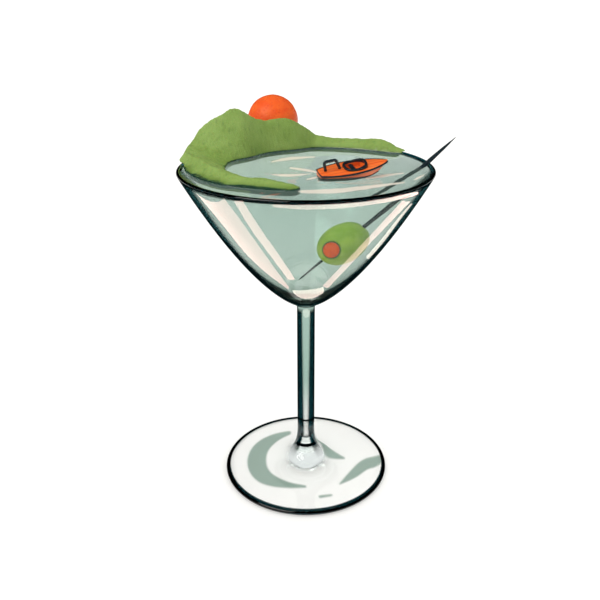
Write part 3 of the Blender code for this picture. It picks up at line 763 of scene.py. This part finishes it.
def make_sun():
    """A ball with a small flat seat, its skin very slightly uneven."""
    bm = bmesh.new()
    bmesh.ops.create_uvsphere(bm, u_segments=96, v_segments=64, radius=SUN_RADIUS)
    bmesh.ops.translate(bm, verts=bm.verts, vec=SUN_CENTRE)
    whole = bm.verts[:] + bm.edges[:] + bm.faces[:]
    seat = Vector((0, 0, SUN_BASE))
    below = bmesh.ops.bisect_plane(bm, geom=whole, plane_co=seat, plane_no=(0, 0, -1), clear_outer=True)
    bmesh.ops.holes_fill(bm, edges=[e for e in below["geom_cut"] if isinstance(e, bmesh.types.BMEdge)], sides=0)
    for vert in bm.verts:
        if vert.co.z > SUN_BASE + 0.01 * MM:
            out = (vert.co - SUN_CENTRE).normalized()
            vert.co -= out * (0.12 * MM * (1 + noise.fractal(vert.co / (4 * MM), 0.9, 2.0, 2)))
    colours = (SUN_ORANGE, SUN_LIGHT, SUN_PORE_SHADE)
    skin = orange_paste("sun paste", colours, 0.6 * MM, 0.1 * MM, specular_ior_level=0.3)
    sun = as_piece(bm, "sun_ball", skin)
    stands_for(sun, "sun")


def boat_place():
    """Boat coordinates to the glass's: +X to the bow, +Z up, the waterline at zero."""
    heading = Matrix.Rotation(BOAT_HEADING, 4, "Z")
    trim = Matrix.Rotation(-BOAT_TRIM, 4, "Y")
    heel = Matrix.Rotation(BOAT_HEEL, 4, "X")
    return Matrix.Translation(BOAT_MIDDLE) @ heading @ trim @ heel


def half_beam(share):
    """Half the boat's width at a share of its length from the stern."""
    if share < WIDEST:
        return BOAT_BEAM / 2 * (1 - STERN_TAPER * ((WIDEST - share) / WIDEST) ** 2)
    narrowing, bluntness = BOW_CURVE
    return BOAT_BEAM / 2 * (1 - ((share - WIDEST) / (1 - WIDEST)) ** narrowing) ** bluntness


def deck_edge(share):
    return BOAT_FREEBOARD * (SHEER_AT_STERN + SHEER_RISE * share**SHEER_POWER)


def deck_height(x, y):
    share = x / BOAT_LENGTH + 0.5
    return deck_edge(share) + DECK_CROWN * (1 - abs(y) / half_beam(share))


def hull_point(share, side, part):
    """A point of the hull's skin at a share of its length: keel, chine or gunwale, on one side."""
    rake = BOW_RAKE * share**3
    keel = -BOAT_DRAUGHT + (BOAT_DRAUGHT + FOREFOOT_RISE) * share**5
    sheer = deck_edge(share)
    x = BOAT_LENGTH * (share - 0.5)
    if part == "keel":
        return Vector((x - rake, 0, keel))
    if part == "chine":
        return Vector((x - rake / 2, side * CHINE_WIDTH * half_beam(share), keel + (sheer - keel) * CHINE_HEIGHT))
    return Vector((x, side * half_beam(share), sheer))


def hull_mesh(stations=40):
    """Six-cornered stations joined from stern to bow."""
    bm = bmesh.new()
    loops = []
    for i in range(stations + 1):
        share = BOW_END * (i / stations) ** 0.9
        x = BOAT_LENGTH * (share - 0.5)
        corners = [
            hull_point(share, 1, "keel"),
            hull_point(share, 1, "chine"),
            hull_point(share, 1, "gunwale"),
            Vector((x, 0, deck_edge(share) + DECK_CROWN)),
            hull_point(share, -1, "gunwale"),
            hull_point(share, -1, "chine"),
        ]
        verts = [bm.verts.new(corner) for corner in corners]
        loops.append([bm.edges.new((verts[k], verts[(k + 1) % 6])) for k in range(6)])
    for before, after in zip(loops, loops[1:]):
        bmesh.ops.bridge_loops(bm, edges=before + after)
    bmesh.ops.holes_fill(bm, edges=loops[0] + loops[-1], sides=0)
    bmesh.ops.recalc_face_normals(bm, faces=bm.faces)
    return bm


def well_cutter():
    bm = bmesh.new()
    bmesh.ops.create_cube(bm, size=1.0)
    bmesh.ops.scale(bm, vec=(WELL_LENGTH, WELL_WIDTH, 2 * WELL_DEPTH), verts=bm.verts)
    upright = [e for e in bm.edges if abs(e.verts[0].co.z - e.verts[1].co.z) > WELL_DEPTH]
    bmesh.ops.bevel(bm, geom=upright, offset=1.6 * MM, segments=8, profile=0.5, affect="EDGES", material=-1)
    bmesh.ops.translate(bm, verts=bm.verts, vec=(WELL_MIDDLE, 0, deck_height(WELL_MIDDLE, 0)))
    mesh = bpy.data.meshes.new("well cutter")
    bm.to_mesh(mesh)
    bm.free()
    cutter = bpy.data.objects.new("well cutter", mesh)
    bpy.context.scene.collection.objects.link(cutter)
    return cutter


def tube(points, radius, closed=False, sides=3):
    """A round bar along a smooth line through the points."""
    data = bpy.data.curves.new("bar line", "CURVE")
    data.dimensions = "3D"
    data.bevel_depth = radius
    data.bevel_resolution = sides
    data.use_fill_caps = True
    line = data.splines.new("POLY")
    line.points.add(len(points) - 1)
    for spot, point in zip(line.points, points):
        spot.co = (*point, 1.0)
    line.use_cyclic_u = closed
    holder = bpy.data.objects.new("bar line", data)
    bpy.context.scene.collection.objects.link(holder)
    bpy.context.view_layer.update()
    made = bpy.data.meshes.new_from_object(holder.evaluated_get(bpy.context.evaluated_depsgraph_get()))
    bpy.data.objects.remove(holder)
    bm = bmesh.new()
    bm.from_mesh(made)
    bpy.data.meshes.remove(made)
    bmesh.ops.remove_doubles(bm, verts=bm.verts, dist=0.001 * MM)
    bmesh.ops.recalc_face_normals(bm, faces=bm.faces)
    return bm


def rounded_path(corners, radius, steps=6):
    """The corners' path with each inner corner rounded."""
    path = [corners[0]]
    for before, corner, after in zip(corners, corners[1:], corners[2:]):
        start = corner + (before - corner).normalized() * radius
        end = corner + (after - corner).normalized() * radius
        for i in range(steps + 1):
            t = i / steps
            path.append(start * (1 - t) ** 2 + corner * (2 * t * (1 - t)) + end * t * t)
    path.append(corners[-1])
    return path


def aboard(bm, name, material):
    """Put a part of the boat where the boat lies."""
    bmesh.ops.transform(bm, matrix=boat_place(), verts=bm.verts)
    return as_piece(bm, name, material, sharp=40)


def make_boat():
    dark = dark_paste()
    cutter = well_cutter()
    bm = settle(hull_mesh(), [
        ("BOOLEAN", {"operation": "DIFFERENCE", "object": cutter, "solver": "EXACT"}),
        ("BEVEL", {"width": 0.18 * MM, "segments": 2, "limit_method": "ANGLE", "angle_limit": radians(25)}),
    ])
    bpy.data.objects.remove(cutter)
    shell = aboard(bm, "boat_shell", boat_paste())
    stands_for(shell, "boat_hull")
    shares = [0.004 + 0.972 * i / 40 for i in range(41)]
    left, right = ([hull_point(share, side, "gunwale") for share in shares] for side in (1, -1))
    rail = left + right[::-1]
    aboard(tube([p + Vector((0, 0, -0.25 * MM)) for p in rail], 0.42 * MM, closed=True), "rub_rail", dark)
    for name, side in (("left_strake", 1), ("right_strake", -1)):
        line = [hull_point(0.03 + 0.86 * i / 30, side, "chine") for i in range(31)]
        aboard(tube(line, 0.24 * MM), name, dark)
    make_coaming(dark)
    make_hoop(dark)
    make_bench(dark)


def make_coaming(material, stations=72):
    """A raised rim round the well, highest and raked aft at its fore end."""
    gap, width = 0.1 * MM, 1.05 * MM
    bm = bmesh.new()
    bmesh.ops.create_circle(bm, segments=stations, radius=1.0)
    for vert in bm.verts:
        turn = atan2(vert.co.y, vert.co.x)
        square = [copysign(abs(way) ** 0.7, way) for way in (cos(turn), sin(turn))]
        vert.co = (WELL_MIDDLE + square[0] * (WELL_LENGTH / 2 + gap), square[1] * (WELL_WIDTH / 2 + gap), 0)
        vert.co.z = deck_height(vert.co.x, vert.co.y) - 0.1 * MM
    inner_low = bm.edges[:]

    def next_ring(edges, shift):
        made = bmesh.ops.extrude_edge_only(bm, edges=edges)["geom"]
        for vert in [item for item in made if isinstance(item, bmesh.types.BMVert)]:
            vert.co += shift(vert.co)
        return [item for item in made if isinstance(item, bmesh.types.BMEdge) and len(item.link_faces) == 1]

    def outward(point):
        return Vector((point.x - WELL_MIDDLE, point.y, 0)).normalized()

    def rise(point):
        fore = max(outward(point).x, 0.0)
        return Vector((-0.5 * MM * fore, 0, (0.95 + 0.9 * fore) * MM))

    outer_low = next_ring(inner_low, lambda point: outward(point) * width)
    outer_top = next_ring(outer_low, rise)
    inner_top = next_ring(outer_top, lambda point: -outward(point) * width)
    bmesh.ops.bridge_loops(bm, edges=inner_top + inner_low)
    bmesh.ops.recalc_face_normals(bm, faces=bm.faces)
    bm = settle(bm, [("BEVEL", {"width": 0.25 * MM, "segments": 3, "limit_method": "ANGLE"})])
    stands_for(aboard(bm, "well_coaming", material), "boat_coaming")


def make_hoop(material):
    """A square hoop on the middle of the stern deck, its fore post raked aft."""
    fore, aft = (Vector((x, 0, deck_height(x, 0) + 0.1 * MM)) for x in (HOOP_FORE_FOOT, HOOP_AFT_FOOT))
    path = rounded_path([fore, fore + HOOP_FORE_POST, aft + HOOP_AFT_POST, aft], 1.0 * MM)
    stands_for(aboard(tube(path, HOOP_RADIUS), "stern_hoop", material), "boat_hoop")


def make_bench(material):
    """A rounded seat across the middle of the well."""
    bm = bmesh.new()
    bmesh.ops.create_cube(bm, size=1.0)
    bmesh.ops.scale(bm, vec=(1.9 * MM, WELL_WIDTH - 0.1 * MM, 0.7 * MM), verts=bm.verts)
    bmesh.ops.bevel(bm, geom=bm.edges[:], offset=0.25 * MM, segments=4, profile=0.5, affect="EDGES", material=-1)
    bmesh.ops.translate(bm, verts=bm.verts, vec=(WELL_MIDDLE - 1.0 * MM, 0, deck_height(WELL_MIDDLE, 0) - 0.9 * MM))
    aboard(bm, "well_bench", material)


def lay(start, direction):
    """A turned shape's own +Z laid along a direction from a start point."""
    return Matrix.Translation(start) @ direction.to_track_quat("Z", "Y").to_matrix().to_4x4()


def eased(table, at):
    """Read a table of pairs at one value, eased between its rows."""
    for (low, first), (high, second) in zip(table, table[1:]):
        if at <= high:
            t = (at - low) / (high - low)
            return first + (second - first) * t
    return table[-1][1]


def make_pick():
    """A thin bar, pointed at both ends and slightly uneven like split wood."""
    length = (RIM_REST - PICK_TIP).length + PICK_TAIL
    steps = 90
    profile = [(0.0, 0.0)]
    for i in range(steps + 1):
        share = i / steps
        profile.append((PICK_RADIUS * eased(PICK_SHAPE, share), length * share))
    profile.append((0.0, length))
    bm = turned(profile, 24)
    bmesh.ops.transform(bm, matrix=lay(PICK_TIP, (RIM_REST - PICK_TIP).normalized()), verts=bm.verts)
    for vert in bm.verts:
        vert.co -= vert.normal * (0.05 * MM * (1 + noise.noise(vert.co / (2 * MM))))
    stands_for(as_piece(bm, "stained_pick", stained_wood()), "pick")


def pimento_place():
    """Where the stuffing shows on the olive's skin, and which way it faces."""
    side = (TOWARD_VIEWER - TOWARD_VIEWER.dot(OLIVE_AXIS) * OLIVE_AXIS).normalized()
    half_length, half_width = OLIVE_LENGTH / 2, OLIVE_WIDTH / 2
    spot = OLIVE_CENTRE + half_length * cos(PIMENTO_TURN) * OLIVE_AXIS + half_width * sin(PIMENTO_TURN) * side
    facing = cos(PIMENTO_TURN) / half_length * OLIVE_AXIS + sin(PIMENTO_TURN) / half_width * side
    return spot, facing.normalized()


def make_olive():
    """A blunt egg with an uneven skin, drawn in round its stuffing and where the pick goes through."""
    half_length, half_width = OLIVE_LENGTH / 2, OLIVE_WIDTH / 2
    steps = 80
    profile = []
    for i in range(1, steps):
        turn = pi * i / steps
        profile.append((half_width * sin(turn) ** OLIVE_BLUNTNESS, -half_length * cos(turn)))
    bm = turned([(0.0, -half_length), *profile, (0.0, half_length)], 112)
    bmesh.ops.transform(bm, matrix=lay(OLIVE_CENTRE, OLIVE_AXIS), verts=bm.verts)
    bm.normal_update()
    painted_crease_shade = bm.verts.layers.float.new("painted_crease_shade")
    spot, facing = pimento_place()
    bar = (RIM_REST - PICK_TIP).normalized()
    moves = []
    for vert in bm.verts:
        offset = vert.co - spot
        from_plug = (offset - offset.dot(facing) * facing).length if offset.dot(facing) > -4 * MM else 1.0
        crease = exp(-(((from_plug - PIMENTO_RADIUS) / (0.5 * MM)) ** 2))
        swell = exp(-(((from_plug - PIMENTO_RADIUS - 1.3 * MM) / (0.8 * MM)) ** 2))
        offset = vert.co - PICK_TIP
        from_pick = (offset - offset.dot(bar) * bar).length
        pinch = exp(-((from_pick / (1.9 * MM)) ** 2))
        uneven = noise.fractal(vert.co / (6 * MM), 1.0, 2.0, 2)
        inward = 0.7 * crease - 0.1 * swell + 0.45 * pinch + 0.12 * (1 + uneven)
        moves.append(vert.normal * (-inward * MM))
        # Painted shade in the crease round the stuffing
        vert[painted_crease_shade] = exp(-(((from_plug - PIMENTO_RADIUS) / (0.75 * MM)) ** 4))
    for vert, move in zip(bm.verts, moves):
        vert.co += move
    stands_for(as_piece(bm, "green_olive", olive_skin(), sharp=80), "olive")


def make_pimento():
    """A domed plug with soft folds."""
    profile = [(0.0, -PIMENTO_DEPTH)]
    profile += [(PIMENTO_RADIUS * share, -PIMENTO_DEPTH) for share in (0.4, 0.8)]
    profile += [(PIMENTO_RADIUS, -PIMENTO_DEPTH * share) for share in (0.75, 0.5, 0.25, 0.1)]
    dome = 18
    for i in range(dome):
        turn = pi / 2 * i / dome
        profile.append((PIMENTO_RADIUS * cos(turn), PIMENTO_DOME * sin(turn)))
    bm = turned([*profile, (0.0, PIMENTO_DOME)], 64)
    for vert in bm.verts:
        if vert.co.z > 0:
            vert.co.z -= 0.35 * MM * max(0.0, noise.noise(vert.co / (1.5 * MM)) + 0.2)
    spot, facing = pimento_place()
    bmesh.ops.transform(bm, matrix=lay(spot, facing), verts=bm.verts)
    stands_for(as_piece(bm, "pimento_plug", pepper_flesh(), sharp=80), "pimento")


def as_stage(bm, name, paint, seen_by=("camera", "diffuse", "glossy", "transmission", "shadow")):
    """Make the mesh part of the studio, seen only by some kinds of ray."""
    mesh = bpy.data.meshes.new(name)
    bm.to_mesh(mesh)
    bm.free()
    mesh.materials.append(paint.material)
    thing = bpy.data.objects.new(name, mesh)
    bpy.context.scene.collection.objects.link(thing)
    for ray in ("camera", "diffuse", "glossy", "transmission", "shadow"):
        setattr(thing, f"visible_{ray}", ray in seen_by)


def make_floor():
    """A pale table, with the soft shade that the drink throws through the foot."""
    paint = Paint("pale floor", roughness=1.0, specular_ior_level=0.0)
    shade = paint.mottle(60 * MM, detail=2.0)
    pale = paint.mix(shade, (0.93, 0.93, 0.925), (0.95, 0.95, 0.945))
    paint.feed(paint.shader, {"Base Color": paint.mix(paint.mark("shade"), pale, FOOT_SHADE)})
    rings = [FOOT_RADIUS * i / 90 for i in range(91)]
    bm = turned([(radius, -FLOOR_GAP) for radius in (*rings, 0.1, 1.0, FLOOR_RADIUS)], 220)
    layer = bm.verts.layers.float.new("shade")
    strokes = [softened(stroke) for stroke in FOOT_SHADES]
    for vert in bm.verts:
        if vert.co.length < FOOT_RADIUS:
            vert[layer] = brushed_at(strokes, vert.co, 2.0)
    as_stage(bm, "pale_floor", paint)


def ribbon(rows):
    """A flat card through rows of two points each."""
    bm = bmesh.new()
    edges = [bm.edges.new([bm.verts.new(point) for point in row]) for row in rows]
    for before, after in zip(edges, edges[1:]):
        bmesh.ops.contextual_create(bm, geom=[before, after])
    bm.normal_update()
    for face in bm.faces:
        if face.normal.z < 0:
            face.normal_flip()
    return bm


def bowl_mirrors(skin, pixel):
    """The point of the table that the bowl's outside shows the camera at a pixel."""
    way = sight(*pixel)
    place = skin.ray_cast(CAMERA_PLACE, way)[0]
    step = 0.01 * MM
    slope = (outer_radius(place.z + step) - outer_radius(place.z - step)) / (2 * step)
    facing = Vector((*place.xy.normalized(), -slope)).normalized()
    bounce = way.reflect(facing)
    return place + bounce * ((CARD_HEIGHT - place.z) / bounce.z)


def along_edge(edge, share):
    """The point at a share of the way along an edge of pixels."""
    at = share * (len(edge) - 1)
    k = min(int(at), len(edge) - 2)
    return Vector(edge[k]).lerp(Vector(edge[k + 1]), at - k)


def make_cards(skin):
    """Glowing cards that only the bowl's reflections see, and dark ones seen in reflections."""
    for i, (brightness, light, *edges) in enumerate(BOWL_BANDS):
        glow = Paint("card light", base_color=(0, 0, 0), emission_strength=brightness)
        under = glow.node("ShaderNodeNewGeometry", output="Backfacing")
        glow.feed(glow.shader, {"Emission Color": glow.mix(under, light, (0, 0, 0))})
        edges = [softened(edge) for edge in edges]
        steps = CARD_STEPS * (len(edges[0]) - 1)
        rows = [[bowl_mirrors(skin, along_edge(edge, j / steps)) for edge in edges] for j in range(steps + 1)]
        as_stage(ribbon(rows), f"light_card_{i}", glow, ("glossy",))
    black = Paint("black card", base_color=(0.002, 0.01, 0.012), roughness=1.0, specular_ior_level=0.0)
    for name, turns, reaches, ray in DARK_CARDS:
        low, high = turns
        turns = [radians(low + (high - low) * i / 48) for i in range(49)]
        rows = [[(reach * sin(t), reach * cos(t), 1 * MM) for reach in reaches] for t in turns]
        as_stage(ribbon(rows), name, black, (ray,))


def make_studio():
    world = bpy.data.worlds.new("studio")
    bpy.context.scene.world = world
    world.use_nodes = True
    sky = world.node_tree.nodes["Background"]
    sky.inputs["Color"].default_value = (1.0, 1.0, 0.99, 1.0)
    sky.inputs["Strength"].default_value = SKY_STRENGTH
    world.cycles_visibility.glossy = False
    data = bpy.data.lights.new("key", "SUN")
    data.energy = KEY_STRENGTH
    data.angle = KEY_SOFTNESS
    data.color = (1.0, 0.97, 0.93)
    key = bpy.data.objects.new("key", data)
    key.rotation_mode = "QUATERNION"
    key.rotation_quaternion = (-KEY_FROM).to_track_quat("-Z", "Y")
    bpy.context.scene.collection.objects.link(key)
    bpy.context.scene.view_settings.view_transform = "Standard"


def make_camera():
    data = bpy.data.cameras.new("camera")
    data.sensor_width = 36.0
    data.lens = data.sensor_width * FOCAL / PICTURE_SIZE
    data.shift_x = 0.5 - PICTURE_MIDDLE.x / PICTURE_SIZE
    data.clip_start = 0.01
    camera = bpy.data.objects.new("camera", data)
    camera.location = CAMERA_PLACE
    camera.rotation_euler = (pi / 2 - CAMERA_PITCH, 0, 0)
    bpy.context.scene.collection.objects.link(camera)
    bpy.context.scene.camera = camera


make_camera()
make_studio()
make_floor()
make_cards(make_glass())
make_drink()
make_hills()
make_sun()
make_boat()
make_pick()
make_olive()
make_pimento()
